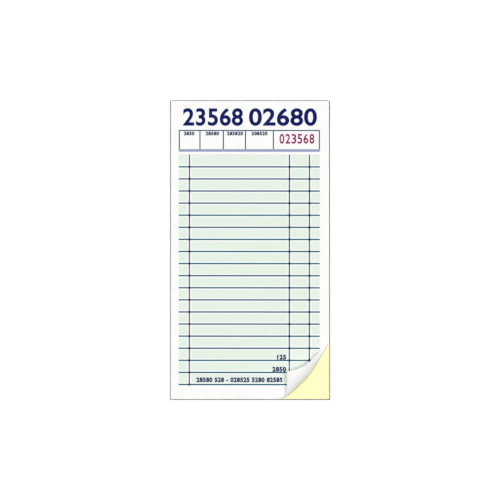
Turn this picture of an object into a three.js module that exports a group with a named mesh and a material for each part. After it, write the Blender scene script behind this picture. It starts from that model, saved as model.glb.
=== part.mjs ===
// Guest check pad: a glued pad of two-part carbonless slips on a chipboard back.
// Millimetres. The pad lies on its board: X is the width, +Y points to the glued head, +Z is up.
// The origin is on the underside of the board, at the middle of the pad.

import * as THREE from "three";

// Sheets and board
const sheetWidth = 86.4;
const sheetLength = 163.0;
const plyCaliper = 0.078;
const airGap = 0.002;
const boardThickness = 0.61;
const boardSideMargin = 0.7;
const boardFootMargin = 0.8;

// The sets: each is one white check over one canary copy
const setsInPad = 25;
const setsInPacket = 9;
const fanDegrees = 0.045;
const fanTurn = 2.4;

// Padding compound brushed on the head edge
const filmThickness = 0.55;
const filmClearance = 0.02;
const filmFlare = 0.5;

// The top check's lower right corner, rolled up and over the sheet
const rollDegrees = 34.1;
const rollSetback = 17.9;
const rollSlant = 0.154;
const rollBowRadius = 102;
const rollRadius = 6.92;
const rollEndRadius = 0.6;
const rollReach = 20.9;
const rollShift = 2.9;
const rollLeadIn = 1.5;
const rollSteps = 40;
const rollColumns = 12;

const degrees = Math.PI / 180;
const fanSwing = (sheetWidth / 2) * Math.sin(fanDegrees * degrees);
const filmGap = filmClearance + fanSwing;
const padLength = sheetLength + filmGap + filmThickness + boardFootMargin;
const filmOuterY = padLength / 2;
const headY = filmOuterY - filmThickness - filmGap;
const pitch = plyCaliper + airGap;

function material(color, roughness) {
  return new THREE.MeshStandardMaterial({ color, roughness, metalness: 0 });
}

const whitePaper = material(0xfbfbf9, 0.85);
const canaryPaper = material(0xfcfcc6, 0.85);
const chipboard = material(0xb5b3ad, 0.95);
const paddingCompound = material(0xc4c5c4, 0.45);

const pad = new THREE.Group();

function add(name, geometry, finish, x, y, z) {
  const mesh = new THREE.Mesh(geometry, finish);
  mesh.name = name;
  mesh.position.set(x, y, z);
  pad.add(mesh);
  return mesh;
}

// A flat sheet: its head edge is on the X axis, and it runs towards -Y.
function flatSheet() {
  const sheet = new THREE.BoxGeometry(sheetWidth, sheetLength, plyCaliper);
  return sheet.translate(0, -sheetLength / 2, plyCaliper / 2);
}

// The roll is set out from the sheet's corner: "across" runs out over the corner, square to the
// roll, and "along" runs with the roll, from the right-hand edge towards the foot.
const rollAngle = rollDegrees * degrees;
const corner = new THREE.Vector3(sheetWidth / 2, -sheetLength, 0);
const acrossAxis = new THREE.Vector3(Math.cos(rollAngle), -Math.sin(rollAngle), 0);
const alongAxis = new THREE.Vector3(-Math.sin(rollAngle), -Math.cos(rollAngle), 0);

// The roll is widest near the corner's own generator, and narrows along half a cosine wave to a
// sharp bend at its two ends, at the right-hand side and at the foot.
function radiusAt(along) {
  const towardsEnd = Math.min(Math.abs(along + rollShift) / rollReach, 1);
  const wave = (1 + Math.cos(Math.PI * towardsEnd)) / 2;
  return rollEndRadius + (rollRadius - rollEndRadius) * wave;
}

// Where the sheet leaves the pad: one radius inside the roll's outer edge, which is a shallow bow.
function liftAt(along) {
  const outerEdge = -rollSetback - rollSlant * along - along ** 2 / (2 * rollBowRadius);
  return outerEdge - radiusAt(along);
}

// The underside of the sheet after rolling: past the lift line it winds round its radius.
function rolledPoint(across, along) {
  const lift = liftAt(along);
  const radius = radiusAt(along);
  const turned = Math.max(across - lift, 0) / radius;
  const reach = turned > 0 ? lift + radius * Math.sin(turned) : across;
  const height = radius * (1 - Math.cos(turned));
  return corner
    .clone()
    .addScaledVector(acrossAxis, reach)
    .addScaledVector(alongAxis, along)
    .add(new THREE.Vector3(0, 0, height));
}

// The printed face's direction, from two short steps on the underside.
function printedSide(across, along) {
  const step = plyCaliper / 10;
  const withRoll = rolledPoint(across, along + step).sub(rolledPoint(across, along - step));
  const overRoll = rolledPoint(across + step, along).sub(rolledPoint(across - step, along));
  return withRoll.cross(overRoll).normalize();
}

// The sheet with its rolled corner, in the flat sheet's frame, as one closed skin: the flat part
// is a fan of triangles, and the rolled part is rows that shorten towards the corner.
function rolledSheet() {
  const under = [];
  const printed = [];
  const up = new THREE.Vector3(0, 0, 1);
  const addPoint = (point, side) => {
    under.push(point);
    printed.push(point.clone().addScaledVector(side, plyCaliper));
    return under.length - 1;
  };

  const firstAcross = -(rollSetback + rollRadius + rollLeadIn);
  const rows = [];
  for (let i = 0; i < rollSteps; i++) {
    const across = firstAcross * (1 - i / rollSteps);
    const atRightEdge = across / Math.tan(rollAngle);
    const atFoot = -across * Math.tan(rollAngle);
    const row = [];
    for (let j = 0; j <= rollColumns; j++) {
      const along = atRightEdge + ((atFoot - atRightEdge) * j) / rollColumns;
      row.push(addPoint(rolledPoint(across, along), printedSide(across, along)));
    }
    rows.push(row);
  }
  const tip = addPoint(rolledPoint(0, 0), printedSide(0, 0));
  const headLeft = addPoint(new THREE.Vector3(-sheetWidth / 2, 0, 0), up);
  const footLeft = addPoint(new THREE.Vector3(-sheetWidth / 2, -sheetLength, 0), up);
  const headRight = addPoint(new THREE.Vector3(sheetWidth / 2, 0, 0), up);

  const faces = [];
  const chain = [footLeft, ...rows[0].slice().reverse(), headRight];
  for (let k = 0; k + 1 < chain.length; k++) faces.push([headLeft, chain[k], chain[k + 1]]);
  for (let i = 0; i + 1 < rollSteps; i++) {
    for (let j = 0; j < rollColumns; j++) {
      faces.push([rows[i][j], rows[i][j + 1], rows[i + 1][j + 1]]);
      faces.push([rows[i][j], rows[i + 1][j + 1], rows[i + 1][j]]);
    }
  }
  const lastRow = rows[rollSteps - 1];
  for (let j = 0; j < rollColumns; j++) faces.push([lastRow[j], lastRow[j + 1], tip]);

  const footSide = rows.map((row) => row[rollColumns]);
  const rightSide = rows.map((row) => row[0]).reverse();
  const outline = [headLeft, footLeft, ...footSide, tip, ...rightSide, headRight];

  const count = under.length;
  const index = [];
  for (const [a, b, c] of faces) {
    index.push(a + count, b + count, c + count);
    index.push(a, c, b);
  }
  outline.forEach((from, k) => {
    const to = outline[(k + 1) % outline.length];
    index.push(from, to, to + count);
    index.push(from, to + count, from + count);
  });

  const geometry = new THREE.BufferGeometry().setFromPoints([...under, ...printed]);
  geometry.setIndex(index);
  geometry.computeVertexNormals();
  return geometry;
}

// A strip of the compound over the head edges of whatever lies between two heights.
function glueStrip(name, bottom, top) {
  const strip = new THREE.BoxGeometry(sheetWidth, filmThickness, top - bottom);
  const middle = (bottom + top) / 2;
  add(name, strip, paddingCompound, 0, filmOuterY - filmThickness / 2, middle);
}

// The lowest strip also covers the board's edge, and draws in from there to the sheets' width.
function footedStrip(name, top) {
  const outline = new THREE.Shape();
  outline.moveTo(-boardWidth / 2, 0);
  outline.lineTo(boardWidth / 2, 0);
  outline.lineTo(boardWidth / 2, boardThickness);
  outline.lineTo(sheetWidth / 2, boardThickness + filmFlare);
  outline.lineTo(sheetWidth / 2, top);
  outline.lineTo(-sheetWidth / 2, top);
  outline.lineTo(-sheetWidth / 2, boardThickness + filmFlare);
  outline.lineTo(-boardWidth / 2, boardThickness);
  outline.closePath();
  const strip = new THREE.ExtrudeGeometry(outline, { depth: filmThickness, bevelEnabled: false });
  strip.rotateX(Math.PI / 2);
  add(name, strip, paddingCompound, 0, filmOuterY, 0);
}

// The board lies under the stack: flush with it at the head, and proud of it on the other sides.
const boardWidth = sheetWidth + 2 * boardSideMargin;
const boardLength = sheetLength + boardFootMargin;
const board = new THREE.BoxGeometry(boardWidth, boardLength, boardThickness);
add("backing_board", board, chipboard, 0, headY - boardLength / 2, boardThickness / 2);

// The plies, counted up from the board. The last one is the top check with the rolled corner.
const stackBottom = boardThickness + airGap;
const plyCount = 2 * setsInPad;
for (let ply = 0; ply < plyCount; ply++) {
  const set = String(setsInPad - Math.floor(ply / 2)).padStart(2, "0");
  const isCheck = ply % 2 === 1;
  const geometry = ply === plyCount - 1 ? rolledSheet() : flatSheet();
  const finish = isCheck ? whitePaper : canaryPaper;
  const name = (isCheck ? "white_check_" : "canary_copy_") + set;
  const sheet = add(name, geometry, finish, 0, headY, stackBottom + ply * pitch);
  sheet.rotation.z = fanDegrees * degrees * Math.sin(ply * fanTurn);
}

// The compound is split where the pad opens: under the packet, the top copy and the top check.
const checkBottom = stackBottom + (plyCount - 1) * pitch;
const copyBottom = checkBottom - pitch;
const packetBottom = copyBottom - 2 * setsInPacket * pitch;
footedStrip("head_glue_film", packetBottom - airGap);
glueStrip("packet_glue_film", packetBottom, copyBottom - airGap);
glueStrip("copy_glue_film", copyBottom, checkBottom - airGap);
glueStrip("check_glue_film", checkBottom, checkBottom + plyCaliper);

export default pad;
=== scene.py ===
"""Guest check pad: the looks of a glued pad of two-part slips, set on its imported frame.

The pad lies on a plain floor with its writing face up and is seen from straight above. X runs
across the pad, +Y points to the glued head and +Z is up. Every length is in metres.
"""

import logging
import math
from collections.abc import Iterable, Sequence
from dataclasses import asdict, dataclass, field
from enum import Enum

import bpy
import numpy as np
from bpy.types import Material, Node, NodeSocket, NodeTree, Object
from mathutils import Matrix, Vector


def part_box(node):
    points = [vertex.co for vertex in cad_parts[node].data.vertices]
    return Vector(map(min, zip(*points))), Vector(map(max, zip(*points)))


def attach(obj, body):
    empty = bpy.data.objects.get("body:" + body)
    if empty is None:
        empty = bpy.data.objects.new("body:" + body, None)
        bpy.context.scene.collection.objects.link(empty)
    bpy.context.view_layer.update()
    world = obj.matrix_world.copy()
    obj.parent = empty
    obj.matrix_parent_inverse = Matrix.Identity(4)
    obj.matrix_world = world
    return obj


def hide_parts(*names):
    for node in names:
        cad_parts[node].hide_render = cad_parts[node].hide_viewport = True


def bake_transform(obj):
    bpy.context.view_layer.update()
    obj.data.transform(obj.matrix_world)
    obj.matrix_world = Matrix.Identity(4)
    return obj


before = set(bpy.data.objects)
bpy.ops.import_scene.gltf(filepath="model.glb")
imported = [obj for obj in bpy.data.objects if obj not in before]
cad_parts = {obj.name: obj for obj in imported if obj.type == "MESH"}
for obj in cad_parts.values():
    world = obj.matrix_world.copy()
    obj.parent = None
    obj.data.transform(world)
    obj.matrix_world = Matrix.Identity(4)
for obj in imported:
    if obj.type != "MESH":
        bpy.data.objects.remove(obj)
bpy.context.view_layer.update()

MM = 0.001
Array = np.ndarray
Color = tuple[float, float, float, float]
log = logging.getLogger("guest_check_pad")


def linear(red: float, green: float, blue: float) -> Color:
    """A display colour given from 0 to 255, as the linear colour that shaders take.

    Args:
        red: Display value of red.
        green: Display value of green.
        blue: Display value of blue.

    Returns:
        The linear colour with an alpha of 1.
    """
    display = np.array([red, green, blue]) / 255
    low, high = display / 12.92, ((display + 0.055) / 1.055) ** 2.4
    return (*(float(v) for v in np.where(display <= 0.04045, low, high)), 1.0)


def placed(name: str, data: bpy.types.ID) -> Object:
    """A new object of a mesh, a curve, a lamp or a camera, linked to the scene."""
    made = bpy.data.objects.new(name, data)
    bpy.context.scene.collection.objects.link(made)
    return made


# Surfaces worked out as arrays


@dataclass
class Skin:
    """A mesh as arrays: its points, the point of each face corner, and each face's corner count."""

    points: Array
    corners: Array
    sizes: Array

    @classmethod
    def joined(cls, skins: Sequence["Skin"]) -> "Skin":
        """One skin that holds several, each with its corners moved past the earlier points."""
        firsts = np.cumsum([0] + [len(s.points) for s in skins[:-1]])
        return cls(
            np.concatenate([s.points for s in skins]),
            np.concatenate([s.corners + first for s, first in zip(skins, firsts)]),
            np.concatenate([s.sizes for s in skins]),
        )

    def piece(self, name: str, material: Material, crease: float = 35.0) -> Object:
        """Makes the object, with its place in its mesh.

        Args:
            name: The object's name.
            material: What it is made of.
            crease: Edges that turn by more degrees than this stay sharp.

        Returns:
            The new object, linked to the scene.
        """
        mesh = bpy.data.meshes.new(name)
        mesh.vertices.add(len(self.points))
        mesh.vertices.foreach_set("co", self.points.astype(np.float32).ravel())
        mesh.loops.add(len(self.corners))
        mesh.loops.foreach_set("vertex_index", self.corners.astype(np.int32))
        mesh.polygons.add(len(self.sizes))
        starts = np.concatenate([[0], np.cumsum(self.sizes)[:-1]])
        mesh.polygons.foreach_set("loop_start", starts.astype(np.int32))
        mesh.polygons.foreach_set("loop_total", self.sizes.astype(np.int32))
        mesh.update(calc_edges=True)
        mesh.polygons.foreach_set("use_smooth", np.ones(len(self.sizes), dtype=bool))
        mesh.set_sharp_from_angle(angle=math.radians(crease))
        mesh.materials.append(material)
        return placed(name, mesh)


def shell(under: Array, over: Array) -> Skin:
    """Closed skin between two grids of rows by columns: both faces and the rim that joins them.

    Rows run towards the foot and columns to the right, so each face is wound anticlockwise as seen
    from outside.

    Args:
        under: Points of the lower face, shaped (rows, columns, 3).
        over: Points of the upper face, in the same order.

    Returns:
        The closed skin.
    """
    rows, columns = over.shape[:2]
    count = rows * columns
    index = np.arange(count).reshape(rows, columns)
    face = np.stack([index[:-1, :-1], index[1:, :-1], index[1:, 1:], index[:-1, 1:]], axis=-1)
    face = face.reshape(-1, 4)
    ring = np.concatenate([index[:-1, 0], index[-1, :-1], index[:0:-1, -1], index[0, :0:-1]])
    after = np.roll(ring, -1)
    rim = np.stack([ring + count, after + count, after, ring], axis=-1)
    quads = np.concatenate([face, face[:, ::-1] + count, rim])
    points = np.concatenate([over.reshape(-1, 3), under.reshape(-1, 3)])
    return Skin(points, quads.ravel(), np.full(len(quads), 4))


def lines_through(start: float, *spans: tuple[float, float], slack: float = 1e-6) -> Array:
    """Grid lines from a start through spans of even steps.

    Args:
        start: The first line.
        spans: Each one's end and its widest step.
        slack: The share of a step that doesn't ask for one more.

    Returns:
        The lines, in order.
    """
    lines = np.array([start], float)
    for end, step in spans:
        count = max(1, math.ceil(abs(end - lines[-1]) / step - slack))
        lines = np.concatenate([lines, np.linspace(lines[-1], end, count + 1)[1:]])
    return lines


# Sheets


@dataclass(frozen=True)
class CornerRoll:
    """The lower right corner of a sheet, rolled up and over its printed face.

    The roll is set out from the sheet's corner: across runs out over the corner, square to the
    roll, and along runs with it from the right-hand edge towards the foot.
    """

    turn: float = math.radians(34.1)
    setback: float = 17.9 * MM
    slant: float = 0.154
    bow_radius: float = 102 * MM
    radius: float = 6.92 * MM
    end_radius: float = 0.6 * MM
    reach: float = 20.9 * MM
    shift: float = 2.9 * MM
    foot_ease: float = 7.0 * MM
    side_ease: float = 1.0 * MM
    ease_spread: float = 8.0 * MM
    samples: int = 16

    def across(self, x: Array, y: Array) -> Array:
        """Distance out over the corner of points given from it."""
        return x * math.cos(self.turn) - y * math.sin(self.turn)

    def along(self, x: Array, y: Array) -> Array:
        """Distance with the roll of points given from the corner."""
        return -x * math.sin(self.turn) - y * math.cos(self.turn)

    def width(self, along: Array) -> Array:
        """The roll's radius: widest near the corner, and half a cosine wave down to both ends."""
        towards_end = np.minimum(np.abs(along + self.shift) / self.reach, 1)
        wave = (1 + np.cos(math.pi * towards_end)) / 2
        return self.end_radius + (self.radius - self.end_radius) * wave

    def ease(self, along: Array) -> Array:
        """How gently the sheet leaves the pad: it grows from one end to the other as a smooth step."""
        share = (1 + np.tanh(along / self.ease_spread)) / 2
        return self.side_ease + (self.foot_ease - self.side_ease) * share

    def climb(self, run: Array, radius: Array, ease: Array) -> tuple[Array, Array]:
        """Distance covered and height gained by the sheet, from where it starts to rise.

        The slope grows as a square over the ease on either side of the lift line and then evenly,
        as on a cylinder. Place and height are the sums of its cosine and sine along the sheet.

        Args:
            run: Distances along the sheet past the lift line.
            radius: The roll's radius at each.
            ease: The ease at each.

        Returns:
            The distance covered and the height.
        """
        lead = np.maximum(run + ease, 0)
        nodes, weights = np.polynomial.legendre.leggauss(self.samples)
        past = lead[..., None] * (nodes + 1) / 2
        before, radius = ease[..., None], radius[..., None]
        slope = np.where(past < 2 * before, past**2 / (4 * before), past - before) / radius
        return lead * (np.cos(slope) @ weights) / 2, lead * (np.sin(slope) @ weights) / 2

    def wound(self, x: Array, y: Array) -> Array:
        """Where points of the flat sheet go on its underside.

        The lift line lies inside the roll's outer edge by the distance that the sheet covers until
        it stands upright, after a quarter turn.

        Args:
            x: Place across the sheet from the corner.
            y: Place up the sheet from the corner.

        Returns:
            Points from the corner, shaped as x with a last axis of 3.
        """
        across, along = self.across(x, y), self.along(x, y)
        radius, ease = self.width(along), self.ease(along)
        quarter = radius * math.pi / 2
        upright = np.where(ease <= quarter, quarter, np.sqrt(4 * ease * quarter) - ease)
        outer_edge = -self.setback - self.slant * along - along**2 / (2 * self.bow_radius)
        start = outer_edge - self.climb(upright, radius, ease)[0]
        lift = start + ease
        forward, height = self.climb(across - lift, radius, ease)
        place = np.minimum(across, start) + forward
        cos, sin = math.cos(self.turn), math.sin(self.turn)
        return np.stack([place * cos - along * sin, -place * sin - along * cos, height], axis=-1)

    @property
    def depth(self) -> float:
        """How far in from the corner the sheet is raised, at most."""
        return self.setback + self.radius + 2 * self.foot_ease


@dataclass(frozen=True)
class Leaf:
    """One sheet of the pad, with its place in the stack and how it moves.

    A sheet that names no body below its own rides whole with that body; one that names a body
    below is left where it lies, with its points baked in. Flat places on a sheet are given from the
    middle of its head edge: x to the right, y upwards, so that y is negative all over the sheet.
    """

    node: str
    ply: int
    body: str
    below: str = ""
    roll: CornerRoll | None = None
    width: float = 86.4 * MM
    length: float = 163.0 * MM
    caliper: float = 0.078 * MM
    fan: float = math.radians(0.045)
    fan_turn: float = 2.4
    bend: float = 3.4 * MM
    bend_steps: int = 12
    fine: float = 0.35 * MM
    coarse: float = 8.0 * MM
    nearest: float = 0.02 * MM

    @property
    def head(self) -> float:
        """The head edge's place, where the backing board is flush with the sheets."""
        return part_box("backing_board")[1].y

    @property
    def floor(self) -> float:
        """Height of the sheet's underside."""
        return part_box(self.node)[0].z

    def under(self, x: Array, y: Array) -> Array:
        """Points of the underside, before the sheet takes its place in the stack.

        Args:
            x: Flat places across the sheet.
            y: Flat places up the sheet.

        Returns:
            Points shaped as x with a last axis of 3.
        """
        if self.roll is None:
            return np.stack([x, y, np.zeros_like(x)], axis=-1)
        corner = np.array([self.width / 2, -self.length, 0])
        return self.roll.wound(x - corner[0], y - corner[1]) + corner

    def place(self, x: Array, y: Array, lift: float | Array) -> Array:
        """Points at a height over the underside, square to the sheet, in the row frame.

        Args:
            x: Flat places across the sheet.
            y: Flat places up the sheet.
            lift: Height over the underside.

        Returns:
            Points shaped as x with a last axis of 3.
        """
        x, y = np.broadcast_arrays(np.asarray(x, float), np.asarray(y, float))
        step = self.nearest
        points = self.under(x, y)
        to_right = self.under(x + step, y) - self.under(x - step, y)
        to_head = self.under(x, y + step) - self.under(x, y - step)
        normal = np.cross(to_right, to_head)
        normal /= np.linalg.norm(normal, axis=-1, keepdims=True)
        points = points + normal * np.asarray(lift)[..., None]
        turned = self.fan * math.sin(self.ply * self.fan_turn)
        cos, sin = math.cos(turned), math.sin(turned)
        across = points[..., 0] * cos - points[..., 1] * sin
        up = points[..., 0] * sin + points[..., 1] * cos
        return np.stack([across, up + self.head, points[..., 2] + self.floor], axis=-1)

    def rolls(self, x: float, y: float) -> bool:
        """True if the roll reaches a flat place, so that what lies there needs a fine grid."""
        roll = self.roll
        return roll is not None and roll.across(x - self.width / 2, y + self.length) > -roll.depth

    def grid(self) -> tuple[Array, Array]:
        """The sheet's grid lines: close where the head bends, and fine where the corner rolls.

        Returns:
            Flat places of the upright lines, to the right, and of the level lines, to the foot.
        """
        half, roll, coarse = self.width / 2, self.roll, self.coarse
        bend = (-self.bend, self.bend / self.bend_steps)
        if roll is None:
            return lines_through(-half, (half, coarse)), lines_through(0, bend, (-self.length, coarse))
        fine_x = half - roll.depth / math.cos(roll.turn)
        fine_y = -self.length + roll.depth / math.sin(roll.turn)
        columns = lines_through(-half, (fine_x, coarse), (half, self.fine))
        return columns, lines_through(0, bend, (fine_y, coarse), (-self.length, self.fine))

    def patch(self, box: tuple, low: float, high: float) -> Skin:
        """A rectangle of the sheet, cut along the sheet's grid where it rolls, so that both bend alike.

        Args:
            box: Flat places of its left, right, top and foot.
            low: Height of its lower face over the underside.
            high: Height of its upper face over the underside.

        Returns:
            The closed skin.
        """
        left, right, top, foot = box
        across, up = np.array([left, right]), np.array([top, foot])
        if self.rolls(right, foot):
            columns, rows = self.grid()
            columns = columns[(columns > left + self.nearest) & (columns < right - self.nearest)]
            rows = rows[(rows < top - self.nearest) & (rows > foot + self.nearest)]
            across = np.concatenate([[left], columns, [right]])
            up = np.concatenate([[top], rows, [foot]])
        x, y = np.meshgrid(across, up)
        return shell(self.place(x, y, low), self.place(x, y, high))

    def sheet(self) -> Skin:
        """The whole sheet, on its grid."""
        x, y = np.meshgrid(*self.grid())
        return shell(self.place(x, y, 0.0), self.place(x, y, self.caliper))

    def fix(self, piece: Object) -> Object:
        """Fixes a sheet that rides whole, or the strip that binds it, to its body; one that turns from a body
        below keeps its place, with its points baked in.
        """
        if not self.below:
            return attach(piece, self.body)
        start = (0, self.head, self.floor)
        end = (0, self.head - self.bend, self.floor)
        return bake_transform(piece)


# Shared effects


class MixKind(Enum):
    """What a Mix node mixes: its data type, and the places of its two inputs and its output."""

    FLOAT = ("FLOAT", 2, 3, 0)
    COLOR = ("RGBA", 6, 7, 2)


class Graph:
    """A shader node tree under construction."""

    def __init__(self, tree: NodeTree) -> None:
        """Starts on a tree."""
        self.tree = tree

    def feed(self, node: Node, inputs: dict) -> Node:
        """Feeds a node's inputs: a socket is linked, and a value is set on the input itself.

        Args:
            node: The node.
            inputs: What each input gets, by its name or place.

        Returns:
            The node.
        """
        for key, given in inputs.items():
            if isinstance(given, NodeSocket):
                self.tree.links.new(given, node.inputs[key])
            else:
                node.inputs[key].default_value = given
        return node

    def node(self, kind: str, inputs: dict, **settings: object) -> Node:
        """Adds a node.

        Args:
            kind: Its type, less the ShaderNode that every type starts with.
            inputs: What each of its inputs gets.
            settings: Its properties.

        Returns:
            The node.
        """
        made = self.tree.nodes.new(f"ShaderNode{kind}")
        for key, value in settings.items():
            setattr(made, key, value)
        return self.feed(made, inputs)

    def math(self, operation: str, first: object, second: object) -> NodeSocket:
        """The result of a Math node on two numbers, each a socket or a value."""
        return self.node("Math", {0: first, 1: second}, operation=operation).outputs[0]

    def mix(self, kind: MixKind, share: object, under: object, over: object) -> NodeSocket:
        """Two numbers or colours mixed by the share of the second, from 0 to 1."""
        data_type, first, second, result = kind.value
        inputs = {0: share, first: under, second: over}
        return self.node("Mix", inputs, data_type=data_type).outputs[result]


class EffectGroup(Graph):
    """A shader node group that several finishes share, built once."""

    def __init__(self, name: str, takes: dict[str, object], gives: dict[str, str]) -> None:
        """Starts a group that takes a place and more.

        Args:
            name: The group's name.
            takes: The usual value of each further input: a tuple is a colour.
            gives: The kind of each output: Color or Float.
        """
        super().__init__(bpy.data.node_groups.new(name, "ShaderNodeTree"))
        face = self.tree.interface
        face.new_socket("Vector", in_out="INPUT", socket_type="NodeSocketVector")
        for key, value in takes.items():
            kind = "NodeSocketColor" if isinstance(value, tuple) else "NodeSocketFloat"
            face.new_socket(key, in_out="INPUT", socket_type=kind).default_value = value
        for key, kind in gives.items():
            face.new_socket(key, in_out="OUTPUT", socket_type=f"NodeSocket{kind}")
        self.given = self.tree.nodes.new("NodeGroupInput").outputs
        self.result = self.tree.nodes.new("NodeGroupOutput")


class Pulp(EffectGroup):
    """Paper pulp: short fibres and the slow clouds that a sheet shows against the light.

    Both are noises; their weighted sum runs the colour from Dark to Light, and the fibres alone
    give the height and the roughness.
    """

    def __init__(self) -> None:
        """Builds the group."""
        takes = {
            "Light": (1, 1, 1, 1),
            "Dark": (0.9, 0.9, 0.9, 1),
            "Fibre Scale": 2200.0,
            "Cloud Scale": 120.0,
            "Cloud Share": 0.5,
            "Smooth": 0.75,
            "Rough": 0.95,
        }
        super().__init__("pulp", takes, {"Color": "Color", "Roughness": "Float", "Height": "Float"})
        given = self.given
        short = {"Vector": given["Vector"], "Scale": given["Fibre Scale"], "Detail": 4.0, "Roughness": 0.62}
        slow = {"Vector": given["Vector"], "Scale": given["Cloud Scale"], "Detail": 2.0}
        fibres = self.node("TexNoise", short).outputs["Fac"]
        clouds = self.node("TexNoise", slow).outputs["Fac"]
        both = self.mix(MixKind.FLOAT, given["Cloud Share"], fibres, clouds)
        middle_band = {"Value": both, "From Min": 0.32, "From Max": 0.68}
        spread = self.node("MapRange", middle_band, clamp=True).outputs["Result"]
        gloss = {"Value": fibres, "To Min": given["Smooth"], "To Max": given["Rough"]}
        results = {
            "Color": self.mix(MixKind.COLOR, spread, given["Dark"], given["Light"]),
            "Roughness": self.node("MapRange", gloss).outputs["Result"],
            "Height": fibres,
        }
        self.feed(self.result, results)


class Flecks(EffectGroup):
    """Scattered flecks, as waste fibres in chipboard or pinholes in ink: cells kept by their own draw.

    A fleck is the middle of a cell whose random value falls under Amount. A noise bends the cells.
    """

    def __init__(self) -> None:
        """Builds the group."""
        super().__init__("flecks", {"Scale": 700.0, "Amount": 0.2, "Size": 0.35}, {"Mask": "Float"})
        bend = 1.2 * MM
        place, scale = self.given["Vector"], self.given["Scale"]
        noise = self.node("TexNoise", {"Vector": place, "Scale": scale, "Detail": 1.0})
        nudge = {0: noise.outputs["Color"], "Scale": bend}
        nudge = self.node("VectorMath", nudge, operation="SCALE").outputs[0]
        moved = self.node("VectorMath", {0: place, 1: nudge}, operation="ADD").outputs[0]
        cells = self.node("TexVoronoi", {"Vector": moved, "Scale": scale})
        draw = self.node("SeparateColor", {0: cells.outputs["Color"]}).outputs[0]
        kept = self.math("LESS_THAN", draw, self.given["Amount"])
        middle = self.math("LESS_THAN", cells.outputs["Distance"], self.given["Size"])
        self.feed(self.result, {"Mask": self.math("MULTIPLY", kept, middle)})


@dataclass
class Effects:
    """The shared groups, made when the first finish asks for them."""

    pulp: Pulp = field(default_factory=Pulp)
    flecks: Flecks = field(default_factory=Flecks)


# Finishes


class Coat(Graph):
    """A material under construction: its Principled shader and the coordinates that it reads."""

    def __init__(self, name: str) -> None:
        """Starts a material of this name."""
        self.material = bpy.data.materials.new(name)
        self.material.use_nodes = True
        super().__init__(self.material.node_tree)
        self.shader = self.tree.nodes["Principled BSDF"]
        self.place = self.tree.nodes.new("ShaderNodeTexCoord").outputs["Object"]

    def group(self, effect: EffectGroup, **values: object) -> Node:
        """Places a shared effect on Object coordinates. Inputs have _ for a space and no capitals."""
        named = {key.replace("_", " ").title(): value for key, value in values.items()}
        return self.node("Group", {"Vector": self.place, **named}, node_tree=effect.tree)


@dataclass(frozen=True)
class Grain:
    """How pulp shows: its fibres and clouds to the metre, and the two ends of its roughness."""

    fibre_scale: float
    cloud_scale: float
    cloud_share: float
    smooth: float
    rough: float


@dataclass(frozen=True)
class Scatter:
    """A scatter of flecks: its cells to the metre, the share that is kept, and their size."""

    scale: float
    amount: float
    size: float


@dataclass(frozen=True)
class Finish:
    """A finish on the shared pulp: its two tones, its grain, its gloss and how far it stands out."""

    name: str
    light: Color
    dark: Color
    grain: Grain
    specular: float
    bump: float
    tooth: float

    def scatters(self) -> list[tuple[Scatter, Color]]:
        """The flecks laid over the pulp, lowest first, each with its colour."""
        return []

    def color(self, coat: Coat, effects: Effects, base: NodeSocket) -> object:
        """What the shader's colour gets: the pulp's own with the flecks over it.

        Args:
            coat: The material.
            effects: The shared groups.
            base: The pulp's colour.

        Returns:
            A socket, or a colour that is the same all over.
        """
        for scatter, tone in self.scatters():
            mask = coat.group(effects.flecks, **asdict(scatter)).outputs["Mask"]
            base = coat.mix(MixKind.COLOR, mask, base, tone)
        return base

    def build(self, effects: Effects) -> Material:
        """Makes the material."""
        coat = Coat(self.name)
        pulp = coat.group(effects.pulp, light=self.light, dark=self.dark, **asdict(self.grain)).outputs
        raised = {"Strength": self.bump, "Distance": self.tooth, "Height": pulp["Height"]}
        surface = {
            "Base Color": self.color(coat, effects, pulp["Color"]),
            "Roughness": pulp["Roughness"],
            "Specular IOR Level": self.specular,
            "Normal": coat.node("Bump", raised).outputs["Normal"],
        }
        coat.feed(coat.shader, surface)
        return coat.material


@dataclass(frozen=True)
class SheetPaper(Finish):
    """Uncoated carbonless paper: matt, with short fibres and faint clouds."""

    grain: Grain = Grain(2400.0, 140.0, 0.55, 0.8, 0.96)
    specular: float = 0.25
    bump: float = 0.5
    tooth: float = 0.012 * MM


@dataclass(frozen=True)
class CutEdge(Finish):
    """Paper of which only the guillotined edge shows: one colour, with the fibres' roughness."""

    grain: Grain = Grain(3200.0, 120.0, 0.5, 0.82, 0.98)
    specular: float = 0.2
    bump: float = 0.6
    tooth: float = 0.01 * MM

    def color(self, coat: Coat, effects: Effects, base: NodeSocket) -> object:
        """The one colour, set on the shader itself."""
        return self.light


@dataclass(frozen=True)
class Ink(Finish):
    """Printing ink on paper: its dark colour thins to light on the fibres, with a few pinholes."""

    grain: Grain = Grain(2600.0, 260.0, 0.35, 0.55, 0.8)
    specular: float = 0.08
    bump: float = 0.35
    tooth: float = 0.008 * MM
    pinholes: float = 0.03

    def scatters(self) -> list[tuple[Scatter, Color]]:
        """The pinholes, where the ink is thin."""
        return [(Scatter(5200.0, self.pinholes, 0.32), self.light)]


@dataclass(frozen=True)
class Chipboard(Finish):
    """Grey recycled board: coarse pulp with dark and pale flecks of waste fibre."""

    name: str = "chipboard"
    light: Color = linear(170, 169, 166)
    dark: Color = linear(143, 142, 139)
    grain: Grain = Grain(1300.0, 90.0, 0.35, 0.86, 1.0)
    specular: float = 0.15
    bump: float = 0.8
    tooth: float = 0.03 * MM
    dark_fleck: Color = linear(106, 104, 101)
    pale_fleck: Color = linear(196, 195, 192)

    def scatters(self) -> list[tuple[Scatter, Color]]:
        """Dark waste fibres, and finer pale ones over them."""
        return [(Scatter(900.0, 0.1, 0.36), self.dark_fleck), (Scatter(1250.0, 0.12, 0.34), self.pale_fleck)]


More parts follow.
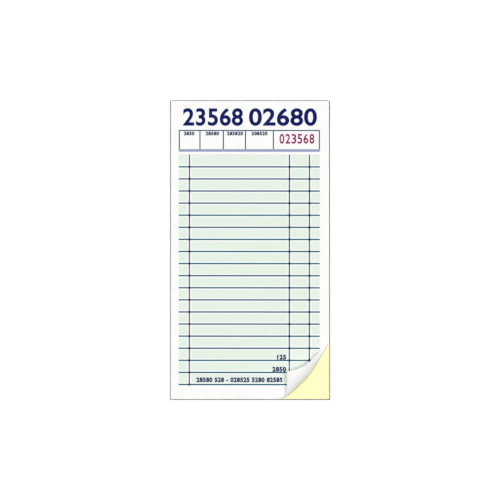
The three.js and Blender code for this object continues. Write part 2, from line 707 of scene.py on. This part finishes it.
@dataclass(frozen=True)
class PaddingCompound(Finish):
    """Dried padding compound: a rubbery skin, milky grey, with the sheen of a brushed coat."""

    name: str = "padding_compound"
    light: Color = linear(140, 141, 140)
    dark: Color = linear(114, 115, 114)
    grain: Grain = Grain(900.0, 160.0, 0.6, 0.28, 0.55)
    specular: float = 0.45
    bump: float = 0.4
    tooth: float = 0.05 * MM


class Print(Enum):
    """The form's inks: each one's colour, its colour where it is thin, and its share of pinholes."""

    GREEN_TINT = ((226, 238, 226), (231, 241, 231), 0.0)
    PANEL_HAIRLINE = ((176, 192, 182), (206, 216, 208), 0.1)
    RULE_BLUE = ((4, 82, 106), (24, 102, 126), 0.03)
    RULE_CROSSING = ((4, 44, 70), (16, 58, 84), 0.03)
    HEADER_SLATE = ((16, 54, 88), (36, 76, 110), 0.03)
    HEADER_BAND = ((144, 152, 184), (160, 167, 196), 0.03)
    TITLE_NAVY = ((0, 8, 82), (8, 28, 104), 0.03)
    LABEL_NAVY = ((0, 30, 76), (4, 44, 92), 0.03)
    NUMBER_CRIMSON = ((112, 2, 62), (144, 26, 90), 0.03)
    NUMBER_BLUSH = ((250, 198, 222), (252, 212, 232), 0.0)

    def ink(self) -> Ink:
        """The ink's finish, named as its member is."""
        full, thin, pinholes = self.value
        return Ink(self.name.lower(), linear(*thin), linear(*full), pinholes=pinholes)


@dataclass
class Finishes:
    """Every material of the pad, built once from the shared effects."""

    effects: Effects = field(default_factory=Effects)

    def __post_init__(self) -> None:
        """Builds the materials. Cut edges have three tones each, so that the plies can be told apart."""
        make = self.effects
        self.white = SheetPaper("white_paper", linear(252, 252, 251), linear(247, 247, 246)).build(make)
        self.canary = SheetPaper("canary_paper", linear(251, 250, 199), linear(248, 246, 188)).build(make)
        white_tones = [linear(v, v, v - 2) for v in (250, 243, 236)]
        canary_tones = [linear(v + 3, v, v - 58) for v in (246, 239, 231)]
        self.white_edges = self.edges("white_cut_edge", white_tones)
        self.canary_edges = self.edges("canary_cut_edge", canary_tones)
        self.inks = {kind: kind.ink().build(make) for kind in Print}
        self.board = Chipboard().build(make)
        self.compound = PaddingCompound().build(make)

    def edges(self, name: str, tones: Sequence[Color]) -> list[Material]:
        """The cut edges of one kind of paper, in each of its tones."""
        return [CutEdge(f"{name}_{i}", tone, tone).build(self.effects) for i, tone in enumerate(tones)]


# The printed form


@dataclass(frozen=True)
class Layout:
    """The form's places on a sheet, measured from its left and its head edge.

    Its figures leave out the 4, and the small ones the 3, 6 and 9: pushed out, their outlines
    cross. A weight is how far outlines are pushed out, and a spacing the space between figures.
    """

    left: float = 4.27 * MM
    right: float = 81.45 * MM
    title: tuple = (
        ("23568", 6.56 * MM, 39.4 * MM),
        ("02680", 42.65 * MM, 79.8 * MM),
    )
    title_top: float = 3.83 * MM
    title_foot: float = 13.65 * MM
    title_weight: float = 0.026
    title_spacing: float = 1.05
    header_top: float = 16.15 * MM
    header_foot: float = 26.35 * MM
    header_band: float = 1.45 * MM
    header_line: float = 0.6 * MM
    dividers: tuple = (15.86 * MM, 28.65 * MM, 40.74 * MM, 56.0 * MM)
    serial_left: float = 59.4 * MM
    serial_pitch: float = 3.28 * MM
    serial_width: float = 2.5 * MM
    serial_top: float = 18.05 * MM
    serial_foot: float = 23.3 * MM
    serial_weight: float = 0.018
    blush_weight: float = 0.03
    blush_swell: float = 0.22 * MM
    fields: tuple = (
        ("2850", 9.9 * MM),
        ("28580", 22.6 * MM),
        ("285820", 35.0 * MM),
        ("208520", 48.4 * MM),
    )
    field_top: float = 16.75 * MM
    field_height: float = 2.1 * MM
    label_weight: float = 0.06
    label_spacing: float = 1.15
    panel_top: float = 29.42 * MM
    panel_edge: float = 0.1 * MM
    first_rule: float = 36.04 * MM
    rule_pitch: float = 6.613 * MM
    rules: int = 19
    rule_width: float = 0.76 * MM
    column_width: float = 0.7 * MM
    columns: tuple = (10.12 * MM, 64.8 * MM, 75.74 * MM)
    crossing_reach: float = 0.75
    knock_out: float = 0.62 * MM
    sums: tuple = ("125", "2850")
    sums_right: float = 63.05 * MM
    sum_height: float = 2.7 * MM
    sum_gap: float = 0.05 * MM
    first_sum_rule: int = 16
    last_line: str = "28580 528 - 028525 5280 82585"
    last_line_box: tuple = (14.0 * MM, 61.1 * MM, 151.15 * MM, 153.85 * MM)

    @property
    def rows(self) -> list[float]:
        """Distances from the head edge to the rules."""
        return [self.first_rule + i * self.rule_pitch for i in range(self.rules)]


@dataclass(frozen=True)
class InkLevels:
    """Heights of the printed layers over the paper, so that none lies in another."""

    wash: tuple = (0.002 * MM, 0.006 * MM)
    line: tuple = (0.003 * MM, 0.010 * MM)
    column: tuple = (0.004 * MM, 0.013 * MM)
    top: tuple = (0.005 * MM, 0.017 * MM)


def figures(text: str, weight: float, spacing: float) -> Skin:
    """Plain figures in the stock typeface, as a skin about one unit high.

    The faces and the walls that Blender makes apart are joined where their points are alike.

    Args:
        text: The figures.
        weight: How far the outlines are pushed out, in units of the type size.
        spacing: Space between figures, as a share of the usual.

    Returns:
        The skin, with its thickness from 0 to 1 along Z.
    """
    curve_steps, half_depth, decimals = 12, 0.5, 5
    curve = bpy.data.curves.new("figures", "FONT")
    curve.body = text
    curve.offset = weight
    curve.space_character = spacing
    curve.extrude = half_depth
    curve.resolution_u = curve_steps
    holder = placed("figures", curve)
    bpy.context.view_layer.update()
    mesh = bpy.data.meshes.new_from_object(holder.evaluated_get(bpy.context.evaluated_depsgraph_get()))
    points = np.empty(len(mesh.vertices) * 3, np.float32)
    corners = np.empty(len(mesh.loops), np.int32)
    sizes = np.empty(len(mesh.polygons), np.int32)
    mesh.vertices.foreach_get("co", points)
    mesh.loops.foreach_get("vertex_index", corners)
    mesh.polygons.foreach_get("loop_total", sizes)
    bpy.data.objects.remove(holder)
    bpy.data.meshes.remove(mesh)
    bpy.data.curves.remove(curve)
    points = points.reshape(-1, 3).astype(float) + [0, 0, half_depth]
    points, merged = np.unique(points.round(decimals), axis=0, return_inverse=True)
    return Skin(points, merged.ravel()[corners], sizes)


@dataclass
class PrintedForm:
    """The form that a check carries on its face: head, ruled panel and figures.

    Plain figures stand in the places of its title, its number and its small labels. Every place is
    given from the sheet's left and head edges.
    """

    leaf: Leaf
    number: str
    finishes: Finishes
    layout: Layout = Layout()
    levels: InkLevels = InkLevels()

    def patches(self, boxes: Iterable[tuple], level: tuple) -> Skin:
        """Printed rectangles in one skin.

        Args:
            boxes: Each one's left, right, top and foot.
            level: Heights of their two faces over the paper.

        Returns:
            The joined skin.
        """
        half = self.leaf.width / 2
        low, high = (self.leaf.caliper + height for height in level)
        flat = [(left - half, right - half, -top, -foot) for left, right, top, foot in boxes]
        return Skin.joined([self.leaf.patch(box, low, high) for box in flat])

    def lay(self, skin: Skin, level: tuple) -> Skin:
        """Lays flat artwork on the sheet.

        Args:
            skin: Artwork with Z from 0 to 1.
            level: Heights over the paper for a Z of 0 and of 1.

        Returns:
            The same skin in its place.
        """
        lift = self.leaf.caliper + level[0] + skin.points[:, 2] * (level[1] - level[0])
        x, y = skin.points[:, 0] - self.leaf.width / 2, skin.points[:, 1]
        return Skin(self.leaf.place(x, y, lift), skin.corners, skin.sizes)

    def fitted(self, skin: Skin, box: tuple) -> Skin:
        """Stretches flat artwork to a box.

        Args:
            skin: The artwork.
            box: Its left, right, top and foot.

        Returns:
            The stretched artwork.
        """
        left, right, top, foot = box
        low, high = skin.points.min(axis=0), skin.points.max(axis=0)
        scale = np.array([(right - left) / (high[0] - low[0]), (foot - top) / (high[1] - low[1]), 1])
        points = (skin.points - [low[0], low[1], 0]) * scale + [left, -foot, 0]
        return Skin(points, skin.corners, skin.sizes)

    def line_of(self, text: str, height: float, top: float, place: float, share: float) -> Skin:
        """Small figures at their natural width, set to a height and hung from a place.

        Args:
            text: The figures.
            height: Their height.
            top: Their top.
            place: A place on the line.
            share: The share of the line that lies to the left of it.

        Returns:
            The artwork in its place.
        """
        skin = figures(text, self.layout.label_weight, self.layout.label_spacing)
        low, high = skin.points.min(axis=0), skin.points.max(axis=0)
        width = (high[0] - low[0]) / (high[1] - low[1]) * height
        left = place - width * share
        return self.fitted(skin, (left, left + width, top, top + height))

    def title(self) -> Skin:
        """Two groups of bold figures, where the slip has its title."""
        plan = self.layout
        groups = []
        for text, left, right in plan.title:
            group = figures(text, plan.title_weight, plan.title_spacing)
            groups.append(self.fitted(group, (left, right, plan.title_top, plan.title_foot)))
        return Skin.joined(groups)

    def serial(self, weight: float, swell: float) -> Skin:
        """The check's number, a narrow figure to each wheel of the numbering machine.

        Args:
            weight: How far the outlines are pushed out, in units of the type size.
            swell: How far each figure stands out of its place on every side.

        Returns:
            The artwork in its place.
        """
        plan = self.layout
        wheels = []
        for i, figure in enumerate(self.number):
            left = plan.serial_left + i * plan.serial_pitch
            right = left + plan.serial_width
            box = (left - swell, right + swell, plan.serial_top - swell, plan.serial_foot + swell)
            wheels.append(self.fitted(figures(figure, weight, 1.0), box))
        return Skin.joined(wheels)

    def tint(self) -> Skin:
        """The panel's green wash, knocked out beside every rule and column."""
        plan = self.layout
        gap = plan.knock_out + plan.rule_width / 2
        inner = [edge for column in plan.columns for edge in (column - gap, column + gap)]
        sides = np.array([plan.left, *inner, plan.right]).reshape(-1, 2)
        tops = [plan.panel_top] + [y + gap for y in plan.rows]
        boxes = [(a, b, top, y - gap) for top, y in zip(tops, plan.rows) for a, b in sides]
        return self.patches(boxes, self.levels.wash)

    def rules(self) -> Skin:
        """The writing rows' rules."""
        plan, half = self.layout, self.layout.rule_width / 2
        boxes = [(plan.left, plan.right, y - half, y + half) for y in plan.rows]
        return self.patches(boxes, self.levels.line)

    def columns(self) -> Skin:
        """The panel's upright rules."""
        plan, half = self.layout, self.layout.column_width / 2
        boxes = [(x - half, x + half, plan.panel_top, plan.rows[-1]) for x in plan.columns]
        return self.patches(boxes, self.levels.column)

    def crossings(self) -> Skin:
        """The darker spots where two rules are printed over each other."""
        plan = self.layout
        across, up = plan.column_width * plan.crossing_reach, plan.rule_width * plan.crossing_reach
        boxes = [(x - across, x + across, y - up, y + up) for x in plan.columns for y in plan.rows]
        return self.patches(boxes, self.levels.top)

    def header_lines(self) -> Skin:
        """The head's box: its top line, its sides and its dividers."""
        plan, half = self.layout, self.layout.header_line / 2
        uprights = (plan.left + half, *plan.dividers, plan.right - half)
        top, foot = plan.header_top, plan.header_foot
        line = self.patches([(plan.left, plan.right, top - half, top + half)], self.levels.line)
        sides = self.patches([(x - half, x + half, top + half, foot) for x in uprights], self.levels.column)
        return Skin.joined([line, sides])

    def across(self, top: float, height: float) -> Skin:
        """A band from side to side of the form, from its top down by its height."""
        plan = self.layout
        return self.patches([(plan.left, plan.right, top, top + height)], self.levels.line)

    def labels(self) -> Skin:
        """Small figures at the top of each field, beside the sums and along the last row."""
        plan = self.layout
        marks = [
            self.line_of(text, plan.field_height, plan.field_top, middle, 0.5) for text, middle in plan.fields
        ]
        for i, text in enumerate(plan.sums):
            foot = plan.rows[plan.first_sum_rule + i] - plan.rule_width / 2 - plan.sum_gap
            marks.append(self.line_of(text, plan.sum_height, foot - plan.sum_height, plan.sums_right, 1.0))
        last = figures(plan.last_line, plan.label_weight, plan.label_spacing)
        marks.append(self.fitted(last, plan.last_line_box))
        return Skin.joined(marks)

    def build(self) -> list[Object]:
        """Makes the form's pieces and fixes them to the leaf's body.

        Returns:
            The pieces.
        """
        plan, levels = self.layout, self.levels
        hairline = self.across(plan.panel_top - plan.panel_edge, plan.panel_edge)
        blush = self.serial(plan.blush_weight, plan.blush_swell)
        serial = self.serial(plan.serial_weight, 0.0)
        art = {
            "tint": (self.tint(), Print.GREEN_TINT),
            "panel_edge": (hairline, Print.PANEL_HAIRLINE),
            "rules": (self.rules(), Print.RULE_BLUE),
            "columns": (self.columns(), Print.RULE_BLUE),
            "crossings": (self.crossings(), Print.RULE_CROSSING),
            "header_lines": (self.header_lines(), Print.HEADER_SLATE),
            "header_band": (self.across(plan.header_foot, plan.header_band), Print.HEADER_BAND),
            "title_figures": (self.lay(self.title(), levels.top), Print.TITLE_NAVY),
            "serial_blush": (self.lay(blush, levels.wash), Print.NUMBER_BLUSH),
            "serial_figures": (self.lay(serial, levels.top), Print.NUMBER_CRIMSON),
            "label_figures": (self.lay(self.labels(), levels.top), Print.LABEL_NAVY),
        }
        made = []
        for part, (skin, ink) in art.items():
            piece = skin.piece(f"{self.leaf.node}_{part}", self.finishes.inks[ink])
            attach(piece, self.leaf.body)
            made.append(piece)
        return made


# Sub-assemblies


@dataclass
class LeafStack:
    """The sets of slips: the two leaves that turn, and all the plies under them.

    Neighbouring cut edges take unlike tones: the ply's number times the tone step, modulo the tone
    cycle, picks one.
    """

    finishes: Finishes
    sets: int = 25
    packet: int = 9
    first_number: int = 23568
    tone_step: int = 5
    tone_cycle: int = 7

    def __post_init__(self) -> None:
        """Sets up the leaves that turn: the rolled check on top and the canary copy under it."""
        self.check = self.leaf("white_check_01", "check_leaf", "copy_leaf", CornerRoll())
        self.copy = self.leaf("canary_copy_01", "copy_leaf", "packet")

    def ply(self, node: str) -> int:
        """A sheet's place in the stack, counted up from the board."""
        kind, number = node.rsplit("_", 1)
        return 2 * (self.sets - int(number)) + (kind == "white_check")

    def leaf(self, node: str, body: str, below: str = "", roll: CornerRoll | None = None) -> Leaf:
        """A sheet of the stack, with its body and, if it turns, the body below."""
        return Leaf(node, self.ply(node), body, below, roll)

    def cover(self, node: str, material: Material) -> None:
        """Gives a ply that keeps its solid one finish all over."""
        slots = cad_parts[node].data.materials
        slots.clear()
        slots.append(material)

    def dress(self) -> None:
        """Gives every ply the finish of its cut edges."""
        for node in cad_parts:
            if node.startswith(("white_check", "canary_copy")):
                edges = self.finishes.white_edges if "white" in node else self.finishes.canary_edges
                tone = self.ply(node) * self.tone_step % self.tone_cycle % len(edges)
                self.cover(node, edges[tone])

    def build(self) -> list[Object]:
        """Returns:
            The pieces.
        """
        self.dress()
        made = []
        for leaf, material, slot in (
            (self.check, self.finishes.white, "white_paper"),
            (self.copy, self.finishes.canary, "canary_paper"),
        ):
            piece = leaf.sheet().piece(f"{leaf.node}_sheet", material)
            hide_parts(leaf.node)
            leaf.fix(piece)
            made.append(piece)
        under_copy = self.leaf("white_check_02", "packet")
        under_packet = self.leaf(f"white_check_{2 + self.packet:02d}", "pad")
        for leaf in (self.check, under_copy, under_packet):
            if not leaf.below:
                self.cover(leaf.node, self.finishes.white)
            number = self.first_number - 1 + int(leaf.node[-2:])
            made += PrintedForm(leaf, f"{number:06d}", self.finishes).build()
        return made


@dataclass
class Binding:
    """The padding compound over the head edges: one brushed skin in the strips that the pad opens at.

    A brush wave is its weight, its turn to the metre along the head and up it, and its start.
    """

    finishes: Finishes
    leaves: dict[str, Leaf]
    step: float = 0.9 * MM
    step_up: float = 0.3 * MM
    ripple: float = 0.1 * MM
    brush: tuple = ((1.0, 410, 900, 0.0), (1.0, 1130, -1700, 1.3), (0.7, 2470, 0, 2.1))
    end_ease: float = 0.35 * MM
    end_share: float = 0.55
    flare: float = 0.5 * MM
    crease: float = 60.0

    def half_width(self, z: Array, half: float) -> Array:
        """Half the skin's width at each height.

        It is as wide as the board down the board's edge, and draws in to the sheets' width over the
        flare, along a half wave of a cosine.

        Args:
            z: Heights.
            half: Half the sheets' width.

        Returns:
            The half widths.
        """
        low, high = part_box("backing_board")
        board_half = (high.x - low.x) / 2
        climbed = np.clip((z - high.z) / self.flare, 0, 1)
        return half + (board_half - half) * (1 + np.cos(math.pi * climbed)) / 2

    def set_back(self, x: Array, z: Array, half: Array, thickness: float) -> Array:
        """How far the brushed face stands back from the film's full thickness.

        Slow waves of unlike lengths along the head, with a little of the height mixed in, give
        brush marks; the ends ease away along a quarter round.

        Args:
            x: Places along the head.
            z: Heights.
            half: Half the skin's width at each place.
            thickness: The film's full thickness.

        Returns:
            The set-back at each place.
        """
        waves = sum(tall * np.sin(x * along + z * up + start) for tall, along, up, start in self.brush)
        highest = sum(wave[0] for wave in self.brush)
        marks = self.ripple * (1 + waves / highest) / 2
        to_end = np.clip((half - np.abs(x)) / self.end_ease, 0, 1)
        return marks + thickness * self.end_share * (1 - np.sqrt(1 - (1 - to_end) ** 2))

    def strip(self, node: str) -> Skin:
        """The compound between two heights, with its inner face flat against the plies.

        Args:
            node: The strip's node, whose box it fills.

        Returns:
            The closed skin.
        """
        low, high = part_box(node)
        half = self.leaves["check_glue_film"].width / 2
        share = lines_through(-1, (1, self.step / half))
        share, z = np.meshgrid(share, lines_through(high.z, (low.z, self.step_up)))
        wide = self.half_width(z, half)
        x = share * wide
        face = high.y - self.set_back(x, z, wide, high.y - low.y)
        outer = np.stack([x, face, z], axis=-1)
        inner = np.stack([x, np.full_like(x, low.y), z], axis=-1)
        return shell(outer, inner)

    def build(self) -> list[Object]:
        """Makes the strips. A strip that binds a turning leaf is fixed as the leaf is.

        Returns:
            The pieces.
        """
        bodies = {"head_glue_film": "pad", "packet_glue_film": "packet"}
        made = []
        for node in (*bodies, "copy_glue_film", "check_glue_film"):
            piece = self.strip(node).piece(f"{node}_skin", self.finishes.compound, self.crease)
            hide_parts(node)
            if node in bodies:
                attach(piece, bodies[node])
            else:
                self.leaves[node].fix(piece)
            made.append(piece)
        return made


@dataclass
class BackingBoard:
    """The chipboard back: a slab whose cut edges are a little crushed."""

    finishes: Finishes
    crush: float = 0.12 * MM
    rounds: int = 5

    def build(self) -> Object:
        """Makes the board: rings of its outline, drawn in along a quarter round at both faces.

        Returns:
            The piece.
        """
        low, high = (np.array(corner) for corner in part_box("backing_board"))
        middle, reach = (low + high) / 2, (high - low) / 2
        turn = np.linspace(0, math.pi / 2, self.rounds)
        inset, rise = self.crush * (1 - np.sin(turn)), self.crush * (1 - np.cos(turn))
        inset = np.concatenate([inset, inset[::-1]])[:, None]
        height = np.concatenate([low[2] + rise, high[2] - rise[::-1]])[:, None]
        x = middle[0] + np.array([-1, 1, 1, -1]) * (reach[0] - inset)
        y = middle[1] + np.array([-1, -1, 1, 1]) * (reach[1] - inset)
        rings = np.stack(np.broadcast_arrays(x, y, height), axis=-1)
        index = np.arange(x.size).reshape(x.shape)
        after = np.roll(index, -1, axis=1)
        walls = np.stack([index[:-1], after[:-1], after[1:], index[1:]], axis=-1).reshape(-1, 4)
        caps = np.stack([index[0][::-1], index[-1]])
        quads = np.concatenate([walls, caps])
        skin = Skin(rings.reshape(-1, 3), quads.ravel(), np.full(len(quads), 4))
        piece = skin.piece("backing_board_slab", self.finishes.board)
        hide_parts("backing_board")
        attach(piece, "pad")
        return piece


# The studio


@dataclass(frozen=True)
class Lamp:
    """A distant soft lamp.

    Its share is that of the light at which a level face renders its colour as it is written. Its
    place is how far it stands from straight overhead, to the right and towards the head.
    """

    name: str
    share: float
    to_right: float
    to_head: float
    angle: float

    def build(self) -> None:
        """Adds the lamp. A sun's strength over pi is what it gives a face that looks at it."""
        data = bpy.data.lights.new(self.name, "SUN")
        data.energy = self.share * math.pi / (math.cos(self.to_right) * math.cos(self.to_head))
        data.angle = self.angle
        placed(self.name, data).rotation_euler = (-self.to_head, self.to_right, 0)


@dataclass
class Studio:
    """A plain pale floor, soft light and a camera straight above the pad."""

    frame_width: float = 273.4 * MM
    camera_rise: float = 1500 * MM
    sensor: float = 36.0
    clip_start: float = 10 * MM
    floor_reach: float = 6.0
    floor_top: float = -0.02 * MM
    floor_foot: float = -1 * MM
    floor_albedo: float = 0.9
    floor_glow: float = 0.14
    sky: float = 0.26
    lamps: tuple = (
        Lamp("right_lamp", 0.36, math.radians(8), 0.0, math.radians(8)),
        Lamp("upper_left_lamp", 0.40, math.radians(-9), math.radians(7), math.radians(4)),
    )

    def camera(self, top: float, middle: float) -> None:
        """Puts the camera over the sheets' middle, looking down with the head upwards.

        Args:
            top: Height of the writing face.
            middle: Place of the sheets' middle along the pad.
        """
        data = bpy.data.cameras.new("camera")
        data.sensor_width = self.sensor
        data.lens = self.sensor * self.camera_rise / self.frame_width
        data.clip_start = self.clip_start
        made = placed("camera", data)
        made.location = (0, middle, top + self.camera_rise)
        bpy.context.scene.camera = made

    def seen(self, graph: Graph) -> NodeSocket:
        """A mask of the rays that show the background: the camera's, glossy and through glass."""
        path = graph.node("LightPath", {}).outputs
        either = graph.math("MAXIMUM", path["Is Camera Ray"], path["Is Glossy Ray"])
        return graph.math("MAXIMUM", either, path["Is Transmission Ray"])

    def lights(self) -> None:
        """Two soft lamps from nearly overhead, and an even sky that gives the rest of the light."""
        for lamp in self.lamps:
            lamp.build()
        world = bpy.data.worlds.new("sky")
        world.use_nodes = True
        bpy.context.scene.world = world
        graph = Graph(world.node_tree)
        level = {"Value": self.seen(graph), "To Min": self.sky, "To Max": 1.0}
        strength = graph.node("MapRange", level).outputs["Result"]
        background = graph.tree.nodes["Background"]
        graph.feed(background, {"Color": (1, 1, 1, 1), "Strength": strength})

    def floor(self) -> None:
        """A white floor that keeps the pad's shadow: matt, with a little light of its own when seen."""
        coat = Coat("floor_white")
        matt = {
            "Base Color": (*[self.floor_albedo] * 3, 1),
            "Roughness": 1.0,
            "Specular IOR Level": 0.0,
            "Emission Color": (1, 1, 1, 1),
            "Emission Strength": coat.math("MULTIPLY", self.seen(coat), self.floor_glow),
        }
        coat.feed(coat.shader, matt)
        reach = self.floor_reach
        x, y = np.meshgrid([-reach, reach], [reach, -reach])
        low, high = (np.stack([x, y, np.full_like(x, z)], axis=-1) for z in (self.floor_foot, self.floor_top))
        shell(low, high).piece("floor", coat.material)

    def build(self, top: float, middle: float) -> None:
        """Sets up the whole studio.

        Args:
            top: Height of the writing face.
            middle: Place of the sheets' middle along the pad.
        """
        self.floor()
        self.lights()
        self.camera(top, middle)
        bpy.context.scene.view_settings.view_transform = "Standard"


def main() -> None:
    """Builds the pad's looks in order and reports each piece."""
    logging.basicConfig(level=logging.INFO, format="%(name)s: %(message)s")
    finishes = Finishes()
    stack = LeafStack(finishes)
    check = stack.check
    made = stack.build()
    made += Binding(finishes, {"check_glue_film": check, "copy_glue_film": stack.copy}).build()
    made.append(BackingBoard(finishes).build())
    for piece in made:
        log.info("%s: %d faces", piece.name, len(piece.data.polygons))
    Studio().build(check.floor + check.caliper, check.head - check.length / 2)


if __name__ == "__main__":
    main()
